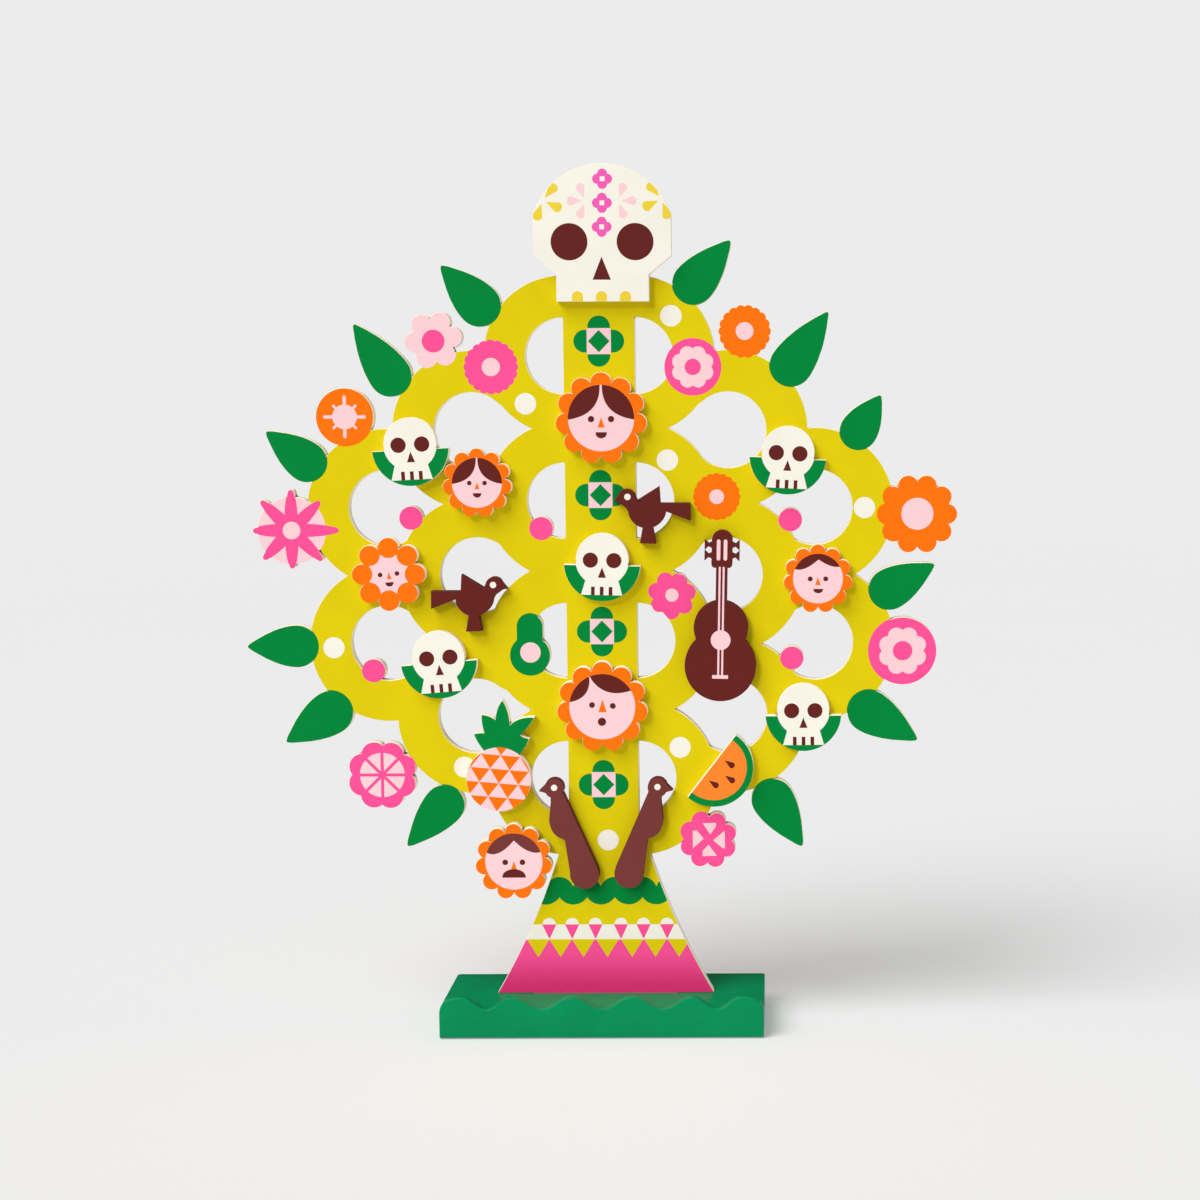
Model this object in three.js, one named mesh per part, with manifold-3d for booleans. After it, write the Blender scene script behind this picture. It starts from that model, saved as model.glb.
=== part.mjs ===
// Table-top tree of life: a flat cut-out board with raised figures on its front, standing in a
// wooden block. Millimetres. X runs to the right, Y to the back and Z up. The origin is the centre
// of the footprint, at the level of the table.
import * as THREE from "three";
import { mergeVertices } from "three/addons/utils/BufferGeometryUtils.js";
import Module from "manifold-3d";

// Boards
const BOARD_FRONT = -2.5; // Y of the tree board's front face
const BOARD_BACK = 3;
const RAISED_THICKNESS = 5; // of every figure on the front of the board
const GLUE_GAP = 0.2; // behind a glued figure and under the board's shoulders
const CLEARANCE = 0.3; // round a piece that sits in a slot, hole or recess

// Ring lattice, right half. The left half mirrors it.
const RING_OUTER = 32.3;
const RING_HOLE = 15.5;
const TRUNK_HALF = 14.5;
const TRUNK_RINGS = [276.7, 217.9, 160.4, 103.2]; // heights of the rings beside the trunk
const TRUNK_TOP = 300;
const INNER_RINGS = [[52.2, 246.6], [50.5, 187.5], [52.2, 129.3]];
const OUTER_RINGS = [[87.3, 215.1], [87.5, 159.6]];

// Skirt of the trunk and its tenon
const SKIRT_TOP = 71.2;
const SKIRT_TOP_HALF = 19;
const SKIRT_FOOT_HALF = 45;
const SKIRT_FLARE = [28.2, 41.8]; // the curved side heads for this point from either end
const TENON_HALF = 30;
const TENON_DEPTH = 7;

// Base
const BASE_WIDTH = 132;
const BASE_DEPTH = 54;
const RAIL_THICKNESS = 4;
const BLOCK_TOP = 12.4;
const BLOCK_CORNER = 1.5;
const FOOT_PROUD = 0.5; // how far the pads hold the block off the table
const WAVE_CREST = 17.4;
const WAVE_TROUGH = 12.4;
const WAVE_CRESTS = [-57, -36.9, -12.4, 12.4, 36.9, 57];
const WAVE_SHOULDER = 10.2; // height where the rail's ends start to round over

// Fixings
const SCREW_X = 20;
const SCREW_TOP = 20;
const SCREW_SHANK = 1.3;
const SCREW_HEAD = 3;
const SCREW_HEAD_HEIGHT = 1.8;
const SCREW_RIM = 0.3;
const SCREW_POINT = 2.5;
const PAD_RADIUS = 5;
const PAD_THICKNESS = 1.5;
const PAD_INSET = 11; // from the block's edges to a pad's centre

// Arc quality
const CHORD_ERROR = 0.07;
const LARGEST_STEP = 20;

const BOARD_MIDDLE = (BOARD_FRONT + BOARD_BACK) / 2;
const BLOCK_FRONT = -BASE_DEPTH / 2 + RAIL_THICKNESS;
const degrees = THREE.MathUtils.degToRad;

const wasm = await Module();
wasm.setup();

// Outlines are lists of [x, z] points.

// Points on an arc, from one angle to another in degrees, both ends included.
function arc(x, z, radius, from, to) {
  const step = Math.min(LARGEST_STEP, THREE.MathUtils.radToDeg(2 * Math.acos(1 - CHORD_ERROR / radius)));
  const count = Math.max(1, Math.ceil(Math.abs(to - from) / step));
  const points = [];
  for (let i = 0; i <= count; i++) {
    const angle = degrees(from + ((to - from) * i) / count);
    points.push([x + radius * Math.cos(angle), z + radius * Math.sin(angle)]);
  }
  return points;
}

// Points on a quadratic curve, both ends included.
function curve(start, control, end, count = 6) {
  const points = [];
  for (let i = 0; i <= count; i++) {
    const t = i / count;
    const weights = [(1 - t) ** 2, 2 * t * (1 - t), t ** 2];
    points.push([0, 1].map((k) => weights[0] * start[k] + weights[1] * control[k] + weights[2] * end[k]));
  }
  return points;
}

function circle(x, z, radius) {
  return arc(x, z, radius, 0, 360).slice(0, -1);
}

function rectangle(left, bottom, right, top) {
  return [[left, bottom], [right, bottom], [right, top], [left, top]];
}

// The same outline turned anticlockwise, seen from the front, and moved.
function placed(points, x, z, turn = 0) {
  const [c, s] = [Math.cos(degrees(turn)), Math.sin(degrees(turn))];
  return points.map(([px, pz]) => [x + c * px - s * pz, z + s * px + c * pz]);
}

function mirrored(points) {
  return points.map(([x, z]) => [-x, z]);
}

// An upright plate of that outline, between two planes of Y.
function plate(points, front = BOARD_FRONT, back = BOARD_BACK) {
  const shape = new THREE.Shape(points.map(([x, z]) => new THREE.Vector2(x, z)));
  const geometry = new THREE.ExtrudeGeometry(shape, { depth: back - front, bevelEnabled: false });
  return geometry.rotateX(Math.PI / 2).translate(0, back, 0);
}

// Booleans

function toSolid(geometry) {
  const bare = geometry.index ? geometry.toNonIndexed() : geometry.clone();
  bare.deleteAttribute("normal");
  bare.deleteAttribute("uv");
  const merged = mergeVertices(bare, 1e-4);
  return new wasm.Manifold(
    new wasm.Mesh({
      numProp: 3,
      vertProperties: merged.attributes.position.array,
      triVerts: new Uint32Array(merged.index.array),
    }),
  );
}

function toGeometry(solid) {
  const mesh = solid.asOriginal().simplify(0.002).getMesh();
  const geometry = new THREE.BufferGeometry();
  geometry.setAttribute("position", new THREE.BufferAttribute(new Float32Array(mesh.vertProperties), 3));
  geometry.setIndex(new THREE.BufferAttribute(new Uint32Array(mesh.triVerts), 1));
  geometry.computeVertexNormals();
  return geometry;
}

function joined(geometries) {
  return geometries.map(toSolid).reduce((whole, piece) => whole.add(piece));
}

// Outlines of the leaves, flowers and figures, each about its own centre

// A round tip that points to the right and ends at that length.
function tip(length, radius) {
  return arc(length - radius, 0, radius, -55, 55);
}

// A teardrop whose round end is centred on the origin and whose blunt tip lies to the right.
function leafOutline(length, radius) {
  const bulge = 0.42 * length;
  const point = tip(length, 0.9);
  return [
    ...arc(0, 0, radius, 90, 270),
    ...curve([0, -radius], [bulge, -radius], point[0]).slice(1),
    ...point.slice(1),
    ...curve(point.at(-1), [bulge, radius], [0, radius]).slice(1, -1),
  ];
}

// A ring of round lobes, as petals or scallops. The notches between them lie where the lobes meet.
function lobedOutline(count, outer, lobe, turn = 0) {
  const ring = outer - lobe;
  const half = 180 / count;
  const alongNotch = ring * Math.cos(degrees(half));
  const reach = Math.sqrt(lobe ** 2 - (ring * Math.sin(degrees(half))) ** 2);
  const notch = alongNotch + reach;
  const sweep = THREE.MathUtils.radToDeg(
    Math.atan2(notch * Math.sin(degrees(half)), notch * Math.cos(degrees(half)) - ring),
  );
  const points = [];
  for (let i = 0; i < count; i++) {
    const angle = turn + (360 * i) / count;
    const [x, z] = [ring * Math.cos(degrees(angle)), ring * Math.sin(degrees(angle))];
    points.push(...arc(x, z, lobe, angle - sweep, angle + sweep).slice(0, -1));
  }
  return points;
}

// A long blunt petal that points to the right, with its root near the origin.
function petalOutline(length, half) {
  const point = tip(length, 1.15);
  return [
    ...curve([3, -half], [0.7 * length, -half], point[0], 8),
    ...point.slice(1),
    ...curve(point.at(-1), [0.7 * length, half], [3, half], 8).slice(1),
  ];
}

const SKULL_RADIUS = 10.7;
const COLLAR_RADIUS = 15.6;
const COLLAR_CENTRE = -1.4; // below the skull's centre
const COLLAR_EDGE = -2.3;

// A round skull over the half-round collar of leaves that it is cut with.
function skullOutline() {
  const head = THREE.MathUtils.radToDeg(Math.asin(COLLAR_EDGE / SKULL_RADIUS));
  const collar = THREE.MathUtils.radToDeg(Math.asin((COLLAR_EDGE - COLLAR_CENTRE) / COLLAR_RADIUS));
  return [
    ...arc(0, COLLAR_CENTRE, COLLAR_RADIUS, 180 - collar, 360 + collar),
    ...arc(0, 0, SKULL_RADIUS, head, 180 - head),
  ];
}

// The large sugar skull: a dome with flat temples over a square jaw, about the dome's centre.
function topperOutline() {
  const [dome, temple, cheek, jawHalf, jawTop, jawFoot] = [29, 27.7, -7.5, 18.6, -15, -25.7];
  const shoulder = THREE.MathUtils.radToDeg(Math.acos(temple / dome));
  return [
    ...arc(0, 0, dome, shoulder, 180 - shoulder),
    [-temple, cheek],
    [-jawHalf, jawTop],
    [-jawHalf, jawFoot],
    [jawHalf, jawFoot],
    [jawHalf, jawTop],
    [temple, cheek],
  ];
}

// A marigold of eleven petals, with one petal straight up.
function marigoldOutline(outer) {
  return lobedOutline(11, outer, 0.228 * outer, 90);
}

// The slice of melon: a little over half a disc, with its cut edge facing up and to the left.
function melonOutline() {
  return arc(0, 0, 16.4, -130.8, 55.4);
}

// The pineapple's fruit and crown, about the fruit's centre.
function pineappleOutline() {
  const [radius, crownRight, crownLeft] = [13.3, 51, 116];
  const [x, z] = [radius * Math.cos(degrees(crownLeft)), radius * Math.sin(degrees(crownLeft))];
  return [
    ...arc(0, 0, radius, crownLeft - 360, crownRight),
    ...curve([8.4, 10.3], [11.4, 13], [12.8, 17], 4).slice(1),
    ...curve([12.8, 17], [11, 17.2], [9.2, 18.4], 3).slice(1),
    ...curve([9.2, 18.4], [13, 22], [15, 25.8], 4).slice(1),
    ...curve([15, 25.8], [9, 26.4], [5, 22.8], 4).slice(1),
    ...curve([5, 22.8], [4.6, 29], [2, 33], 4).slice(1),
    ...curve([2, 33], [-0.6, 30], [-1, 24.9], 4).slice(1),
    ...curve([-1, 24.9], [-3.4, 26.8], [-6.7, 27], 4).slice(1),
    ...curve([-6.7, 27], [-6.8, 23], [-5.6, 19.4], 3).slice(1),
    ...curve([-5.6, 19.4], [-7.8, 19.6], [-10, 19], 3).slice(1),
    ...curve([-10, 19], [-8.4, 15], [x, z], 4).slice(1, -1),
  ];
}

// A flying bird that faces right, about the centre of its round body.
function flyingBirdOutlines() {
  const beak = [[11, 6.8], [9.4, 1.6], [11.6, 3], [13.6, 3.5]];
  const neck = [[4.6, 5.2], [2.6, 1], [7.4, -1.6], [9.9, 1.8]];
  const wing = [[4, 3.8], [-5, 9.4], [-5.5, 1]];
  const tail = [[-4, 2.6], [-17.5, 2.6], [-17.6, -4.7], [-6.5, -0.4]];
  const foot = [[1.6, -6], [3, -13.8], [-3.5, -14], [-2.1, -6]];
  return [arc(0, 0, 7.7, -190, 30), circle(8.2, 4.8, 3.5), beak, neck, wing, tail, foot];
}

// A perched bird that faces right, about the centre of its tail's round end.
function perchedBirdOutlines() {
  const beak = [[14.5, 38.6], [13, 33], [16, 34.2], [18.4, 34.8]];
  const [back, chest] = [[-5.6, 2.4], [13.6, 30]];
  const body = [
    back,
    [5.9, 0],
    [8, 14.8],
    ...curve([8, 14.8], [13.6, 15.6], [14.3, 22.4], 6).slice(1),
    ...curve([14.3, 22.4], [14, 26], chest, 3).slice(1),
    [13.6, 33],
    [8.3, 34],
  ];
  return [circle(0, 0, 6), circle(12.1, 36, 4.05), beak, body];
}

// A guitar that stands upright, about the centre of its lower bout.
function guitarOutlines() {
  const [neckHalf, headHalf, headFoot, headTop, corner] = [2.3, 4.2, 40.2, 55.6, 1.3];
  const head = [
    ...arc(-headHalf + corner, headFoot + corner, corner, 180, 270),
    ...arc(headHalf - corner, headFoot + corner, corner, -90, 0),
    ...arc(0, headTop - headHalf, headHalf, 0, 180),
  ];
  const peg = [[4, -1.3], [5.5, -0.6], [7.1, -2.1], [7.1, 2.1], [5.5, 0.6], [4, 1.3]];
  const pegs = [45.1, 49.5].flatMap((z) => [placed(peg, 0, z), placed(peg, 0, z, 180)]);
  return [circle(0, 0, 14.6), circle(0, 15.7, 11.1), rectangle(-neckHalf, 14, neckHalf, 42), head, ...pegs];
}

// The tree board

// The points of a ring's hole where its round part gives way to the outer edge of a ring beside it.
function handover([x, z], [besideX, besideZ]) {
  const angle = Math.atan2(besideZ - z, besideX - x);
  const before = angle - Math.sign(angle) * degrees(12);
  const reach = Math.hypot(besideX - x, besideZ - z) - RING_OUTER;
  return [
    [x + RING_HOLE * Math.cos(before), z + RING_HOLE * Math.sin(before)],
    [x + reach * Math.cos(angle), z + reach * Math.sin(angle)],
  ];
}

// The hole of a ring that opens towards the trunk, where the rings beside it close it to a point.
function ringHole(centre, towards, [below, above]) {
  const [upper, lower] = [handover(centre, above), handover(centre, below).reverse()];
  const funnel = [...upper, [towards, upper[1][1]], [towards, lower[0][1]], ...lower];
  const hole = joined([
    plate(circle(...centre, RING_HOLE), BOARD_FRONT - 1, BOARD_BACK + 1),
    plate(funnel, BOARD_FRONT - 2, BOARD_BACK + 2),
  ]);
  const discs = [below, above].map((beside) => circle(...beside, RING_OUTER));
  const rings = discs.map((disc) => plate(disc, BOARD_FRONT - 3, BOARD_BACK + 3));
  return hole.subtract(joined(rings));
}

// The half-round hole between a trunk ring and the trunk.
function trunkHole(z) {
  return toSolid(plate(arc(TRUNK_HALF, z, RING_HOLE, -90, 90), BOARD_FRONT - 1, BOARD_BACK + 1));
}

// Every hole in the right half of the lattice.
function latticeHoles() {
  const beside = TRUNK_RINGS.map((z) => [TRUNK_HALF, z]);
  const innerX = INNER_RINGS[0][0];
  return [
    ...TRUNK_RINGS.map(trunkHole),
    ...INNER_RINGS.map((ring, i) => ringHole(ring, TRUNK_HALF, [beside[i + 1], beside[i]])),
    ...OUTER_RINGS.map((ring, i) => ringHole(ring, innerX, [INNER_RINGS[i + 1], INNER_RINGS[i]])),
  ];
}

function lattice() {
  const rings = [...TRUNK_RINGS.map((z) => [TRUNK_HALF, z]), ...INNER_RINGS, ...OUTER_RINGS];
  const right = rings.map(([x, z]) => circle(x, z, RING_OUTER));
  const trunk = rectangle(-TRUNK_HALF, SKIRT_TOP, TRUNK_HALF, TRUNK_TOP);
  let board = joined([...right, ...right.map(mirrored), trunk].map((points) => plate(points)));
  for (const hole of latticeHoles()) {
    board = board.subtract(hole).subtract(hole.mirror([1, 0, 0]));
  }
  return board;
}

// Leaves as [x, z, direction of the tip, length, radius of the round end]
const LEAVES = [
  [-48.2, 297.2, 134, 21.9, 8.8],
  [-84.8, 269, 125, 25.1, 8.7],
  [-119.6, 234.1, 143, 20.2, 8.4],
  [-125.2, 158.4, 180, 20.4, 8.7],
  [-112, 130.9, 213, 22.2, 9.1],
  [-66, 92.2, 228, 23.1, 8.4],
  [38.6, 305.7, 49, 22.5, 8.7],
  [77.9, 272.7, 55, 26, 8.8],
  [105.3, 246, 58, 16.9, 7.8],
  [118, 181.3, 29, 20.9, 8.6],
  [109.6, 130.8, -31, 23.1, 9],
  [69.8, 94, -58, 22.9, 8.8],
];

const BERRY_RADIUS = 4.85;
const BERRIES = [[-77.5, 211], [-24.4, 206.6], [77.4, 209.9], [-94.1, 148.2], [77.9, 153]];

// The star flower's petals as [direction, length]
const STAR_PETALS = [
  [0, 19],
  [45, 16.4],
  [90, 16.8],
  [135, 17.3],
  [180, 15.8],
  [225, 16.6],
  [270, 15.6],
  [315, 17.3],
];

function starFlowerOutlines() {
  const petals = STAR_PETALS.map(([turn, length]) => placed(petalOutline(length, 2.75), 0, 0, turn));
  return [circle(0, 0, 13.8), ...petals].map((points) => placed(points, -126.4, 206));
}

function avocadoOutlines() {
  const [x, top, bottom] = [-29.5, 166.3, 154.3];
  return [circle(x, top, 5.2), rectangle(x - 5.2, bottom, x + 5.2, top), circle(x, bottom, 8.1)];
}

// The flat flowers that reach past the lattice's own edges.
function flowerOutlines() {
  return [
    placed(lobedOutline(6, 11.7, 4.2, 8), -67.1, 283.3),
    placed(lobedOutline(20, 11.1, 2), -43.9, 272.2),
    circle(38, 272, 11.6),
    placed(lobedOutline(18, 10.7, 2.1), 59.1, 286.4),
    circle(-103.7, 252.2, 11.7),
    ...starFlowerOutlines(),
    placed(lobedOutline(10, 16.3, 4.2), 129.3, 212.1),
    circle(123.4, 155.8, 13.9),
    placed(lobedOutline(8, 14.4, 5.4, 21), -91.4, 104.7),
    placed(lobedOutline(8, 12, 3.8, 20), 43.1, 77.2),
    placed(lobedOutline(7, 9.6, 3.1, 11), 28.8, 179),
    ...avocadoOutlines(),
  ];
}

function skirtOutlines() {
  const shoulder = BLOCK_TOP + GLUE_GAP;
  const side = curve([SKIRT_FOOT_HALF, shoulder], SKIRT_FLARE, [SKIRT_TOP_HALF, SKIRT_TOP], 14);
  const top = [[SKIRT_TOP_HALF - 2, SKIRT_TOP + 4], [2 - SKIRT_TOP_HALF, SKIRT_TOP + 4]];
  const skirt = [...side, ...top, ...mirrored(side).reverse()];
  return [skirt, rectangle(-TENON_HALF, BLOCK_TOP - TENON_DEPTH, TENON_HALF, shoulder + 1)];
}

// The pilot hole that a screw's shank fills, from the tenon's foot up.
function pilotHole(x) {
  const [foot, top] = [BLOCK_TOP - TENON_DEPTH - 1, SCREW_TOP + CLEARANCE];
  const hole = new THREE.CylinderGeometry(SCREW_SHANK + CLEARANCE, SCREW_SHANK + CLEARANCE, top - foot, 12);
  return toSolid(hole.rotateX(Math.PI / 2).translate(x, BOARD_MIDDLE, (foot + top) / 2));
}

function treePanel() {
  const leaves = LEAVES.map(([x, z, turn, ...size]) => placed(leafOutline(...size), x, z, turn));
  const berries = BERRIES.map(([x, z]) => circle(x, z, BERRY_RADIUS));
  const extras = [...leaves, ...berries, ...flowerOutlines(), ...skirtOutlines()];
  const board = lattice().add(joined(extras.map((points) => plate(points))));
  return toGeometry(board.subtract(pilotHole(-SCREW_X)).subtract(pilotHole(SCREW_X)));
}

// The base

// The scalloped top edge, from the first crest to the last, as half cosine waves.
function waveEdge() {
  const points = [];
  const steps = 8;
  const ends = WAVE_CRESTS.flatMap((crest, i) => (i ? [(WAVE_CRESTS[i - 1] + crest) / 2, crest] : [crest]));
  for (let i = 0; i < ends.length - 1; i++) {
    for (let k = 0; k < steps; k++) {
      const x = ends[i] + ((ends[i + 1] - ends[i]) * k) / steps;
      const height = (1 + Math.cos(Math.PI * (i + k / steps))) / 2;
      points.push([x, WAVE_TROUGH + (WAVE_CREST - WAVE_TROUGH) * height]);
    }
  }
  return points;
}

function waveRail() {
  const [left, crest] = [-BASE_WIDTH / 2, WAVE_CRESTS[0]];
  const end = curve([left, WAVE_SHOULDER], [left, WAVE_CREST], [crest, WAVE_CREST]);
  const top = [...end, ...waveEdge().slice(1), ...mirrored(end).reverse()];
  return plate([[left, FOOT_PROUD], ...top, [-left, FOOT_PROUD]], -BASE_DEPTH / 2, BLOCK_FRONT - GLUE_GAP);
}

function padPlaces() {
  const x = BASE_WIDTH / 2 - PAD_INSET;
  const [front, back] = [BLOCK_FRONT + PAD_INSET, BASE_DEPTH / 2 - PAD_INSET];
  return [[-x, front], [x, front], [-x, back], [x, back]];
}

// An upright cylinder between two heights.
function post(x, y, radius, foot, top, sides = 20) {
  const geometry = new THREE.CylinderGeometry(radius, radius, top - foot, sides);
  return geometry.rotateX(Math.PI / 2).translate(x, y, (foot + top) / 2);
}

// The screw's profile as [radius, height], grown by a margin for the hole that it sits in.
function screwProfile(margin) {
  const head = FOOT_PROUD + CLEARANCE;
  const neck = head + SCREW_HEAD_HEIGHT;
  return [
    [0, head - 2 * margin],
    [SCREW_HEAD + margin, head - 2 * margin],
    [SCREW_HEAD + margin, head + SCREW_RIM + margin],
    [SCREW_SHANK + margin, neck + margin],
    [SCREW_SHANK + margin, SCREW_TOP - SCREW_POINT],
    [0, SCREW_TOP],
  ];
}

function screw(x, margin = 0) {
  const profile = screwProfile(margin).map(([radius, height]) => new THREE.Vector2(radius, height));
  return new THREE.LatheGeometry(profile, 16).rotateX(Math.PI / 2).translate(x, BOARD_MIDDLE, 0);
}

function baseBlock() {
  const [half, back, c] = [BASE_WIDTH / 2, BASE_DEPTH / 2, BLOCK_CORNER];
  const plan = [
    ...arc(half - c, back - c, c, 0, 90),
    ...arc(c - half, back - c, c, 90, 180),
    ...arc(c - half, BLOCK_FRONT + c, c, 180, 270),
    ...arc(half - c, BLOCK_FRONT + c, c, 270, 360),
  ];
  const shape = new THREE.Shape(plan.map(([x, y]) => new THREE.Vector2(x, y)));
  const options = { depth: BLOCK_TOP - FOOT_PROUD, bevelEnabled: false };
  const block = new THREE.ExtrudeGeometry(shape, options).translate(0, 0, FOOT_PROUD);
  const reach = CLEARANCE;
  const slot = plate(
    rectangle(-TENON_HALF - reach, BLOCK_TOP - TENON_DEPTH - reach, TENON_HALF + reach, BLOCK_TOP + 1),
    BOARD_FRONT - reach,
    BOARD_BACK + reach,
  );
  const recesses = padPlaces().map(([x, y]) => post(x, y, PAD_RADIUS + reach, 0, PAD_THICKNESS + reach));
  const cutters = [slot, ...recesses, screw(-SCREW_X, reach), screw(SCREW_X, reach)];
  return toGeometry(cutters.reduce((rest, cutter) => rest.subtract(toSolid(cutter)), toSolid(block)));
}

// Assembly

const tree = new THREE.Group();

function add(name, geometry, colour, roughness = 0.6, metalness = 0) {
  const material = new THREE.MeshStandardMaterial({ color: colour, roughness, metalness });
  const mesh = new THREE.Mesh(geometry, material);
  mesh.name = name;
  tree.add(mesh);
}

// A figure glued to the front of the board, from its outlines about its own centre.
function addFigure(name, colour, outlines, x, z, turn = 0) {
  const back = BOARD_FRONT - GLUE_GAP;
  const plates = outlines.map((points) => plate(placed(points, x, z, turn), back - RAISED_THICKNESS, back));
  add(name, plates.length > 1 ? toGeometry(joined(plates)) : plates[0], colour);
}

add("tree_panel", treePanel(), "#dcc814");
add("base_block", baseBlock(), "#008f5a");
add("base_wave_rail", waveRail(), "#008f5a");
add("base_screw_left", screw(-SCREW_X), "#b9b9b4", 0.35, 1);
add("base_screw_right", screw(SCREW_X), "#b9b9b4", 0.35, 1);
padPlaces().forEach(([x, y], i) => {
  const name = ["front_left", "front_right", "back_left", "back_right"][i];
  add(`foot_pad_${name}`, post(x, y, PAD_RADIUS, 0, PAD_THICKNESS), "#3a3a38", 0.9);
});

addFigure("sugar_skull_topper", "#f6f2e8", [topperOutline()], 2.2, 324);

// Small skulls as [name, x, z, turn]
const SKULLS = [
  ["skull_upper_left", -76.5, 241.3, 2.8],
  ["skull_upper_right", 76.6, 237.4, -3],
  ["skull_centre", 0.8, 194.1, -1.4],
  ["skull_lower_left", -66.6, 154.3, 4.6],
  ["skull_lower_right", 82.5, 132.1, 0.4],
];
for (const [name, x, z, turn] of SKULLS) {
  addFigure(name, "#f6f2e8", [skullOutline()], x, z, turn);
}

// Marigolds with a face as [name, outer radius, x, z]
const MARIGOLDS = [
  ["marigold_upper_centre", 18.6, 1, 251.5],
  ["marigold_upper_left", 14.1, -49.6, 225.5],
  ["marigold_right", 14.1, 88.6, 186.1],
  ["marigold_lower_centre", 18.7, 0.2, 133.7],
  ["marigold_moustache", 15.9, -37, 69.3],
];
for (const [name, outer, x, z] of MARIGOLDS) {
  addFigure(name, "#ff7a1a", [marigoldOutline(outer)], x, z);
}
addFigure("marigold_child_left", "#ff7a1a", [lobedOutline(8, 15, 4.25)], -86.2, 188.4);

addFigure("guitar", "#652521", guitarOutlines(), 48.6, 150.4, -1.2);

// The birds come in pairs. Those that face left are mirror images.
const facingLeft = (outlines) => outlines.map((points) => mirrored(points).reverse());
addFigure("bird_flying_left", "#652521", flyingBirdOutlines(), -51.6, 178.8);
addFigure("bird_flying_right", "#652521", facingLeft(flyingBirdOutlines()), 19.2, 214.5);
addFigure("bird_perched_right", "#733734", perchedBirdOutlines(), 10.4, 64);
addFigure("bird_perched_left", "#733734", facingLeft(perchedBirdOutlines()), -7.9, 63.8);
addFigure("pineapple", "#ff8a2e", [pineappleOutline()], -42.7, 103.6);
addFigure("melon_slice", "#ff8a2e", [melonOutline()], 45.6, 108.4);

export default tree;
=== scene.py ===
import math

import bmesh
import bpy
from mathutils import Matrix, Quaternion, Vector
from mathutils.geometry import delaunay_2d_cdt


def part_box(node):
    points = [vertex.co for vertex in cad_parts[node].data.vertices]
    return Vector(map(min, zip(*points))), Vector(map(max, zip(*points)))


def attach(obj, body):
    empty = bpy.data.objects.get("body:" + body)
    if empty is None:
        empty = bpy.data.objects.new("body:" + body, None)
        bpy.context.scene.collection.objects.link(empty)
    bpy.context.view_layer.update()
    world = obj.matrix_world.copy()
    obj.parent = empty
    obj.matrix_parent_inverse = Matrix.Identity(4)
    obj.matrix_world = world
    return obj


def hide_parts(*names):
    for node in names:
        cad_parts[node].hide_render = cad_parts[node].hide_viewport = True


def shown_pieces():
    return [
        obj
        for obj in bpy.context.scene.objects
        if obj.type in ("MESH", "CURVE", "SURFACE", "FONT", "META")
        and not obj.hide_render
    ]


# A table-top tree of life: printed cut-out boards, with raised figures glued on, in a painted base.
# Shapes are drawn in millimetres as lists of (x, z), seen from the front, and become meshes in metres.

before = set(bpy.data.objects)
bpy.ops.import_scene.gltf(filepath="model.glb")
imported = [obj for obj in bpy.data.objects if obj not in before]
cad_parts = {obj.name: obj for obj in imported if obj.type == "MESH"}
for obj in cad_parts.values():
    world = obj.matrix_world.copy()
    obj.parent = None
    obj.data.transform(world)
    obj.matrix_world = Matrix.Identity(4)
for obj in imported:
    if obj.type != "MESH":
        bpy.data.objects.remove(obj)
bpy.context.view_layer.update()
MM = 0.001
TINY = 1e-6

# Build of the boards
EDGE_ROUND = 0.1  # rounding of a board's cut edges
PRINT_DROP = 0.1  # the print sits this much low on its board
PRINT_THICKNESS = 0.07
PRINT_SINK = 0.03  # how deep the print is keyed into the face
CORNER_TURN = math.radians(30)  # a sharper turn than this in an outline is a corner
LONGEST_ARC_STEP = 5.0  # a longer side than this in an outline is straight
FINEST_TURN = math.radians(6)  # the most that a smoothed curve turns from one side to the next
SHORTEST_SIDE = 0.08  # points of an outline that are closer than this become one
SHARPEST_MITRE = 0.35  # cosine of half the turn, past which a corner's mitre grows no longer
BURN_REACH = 1.6  # how far the laser's burn spreads from a notch


# ---------------------------------------------------------------- flat shapes


def arc(x, z, radius, start, end, step=6):
    """Points round an arc, no more than a step apart, with its angles in degrees."""
    count = max(2, math.ceil(abs(end - start) / step))
    angles = [math.radians(start + (end - start) * i / count) for i in range(count + 1)]
    return [(x + radius * math.cos(a), z + radius * math.sin(a)) for a in angles]


def circle(x, z, radius):
    return arc(x, z, radius, 0, 360)[:-1]


def rectangle(left, bottom, right, top):
    return [(left, bottom), (right, bottom), (right, top), (left, top)]


def curve(start, control, end, count=14):
    """A bend from the start to the end, drawn towards the control point."""
    points = []
    for i in range(count + 1):
        t = i / count
        a, b, c = (1 - t) ** 2, 2 * t * (1 - t), t * t
        points.append(tuple(a * start[k] + b * control[k] + c * end[k] for k in (0, 1)))
    return points


def placed(points, x, z, turn=0):
    """The points turned about the origin, then moved."""
    cos, sin = math.cos(math.radians(turn)), math.sin(math.radians(turn))
    return [(x + cos * px - sin * pz, z + sin * px + cos * pz) for px, pz in points]


def area(points):
    """The area inside a loop, positive where the loop runs anticlockwise."""
    return sum(a[0] * b[1] - b[0] * a[1] for a, b in zip(points, points[1:] + points[:1])) / 2


LEAF_TIP, PETAL_TIP = 0.9, 1.15  # radii of the blunt tips


def tip(length, radius):
    """A round tip that points to the right and ends at that length."""
    return arc(length - radius, 0, radius, -55, 55)


def leaf(length, radius):
    """A teardrop whose round end is centred on the origin and whose blunt tip lies to the right."""
    bulge = 0.42 * length
    point = tip(length, LEAF_TIP)
    lower = curve((0, -radius), (bulge, -radius), point[0])[1:]
    upper = curve(point[-1], (bulge, radius), (0, radius))[:-1]
    return arc(0, 0, radius, 90, 270) + lower + point[1:-1] + upper


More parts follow.
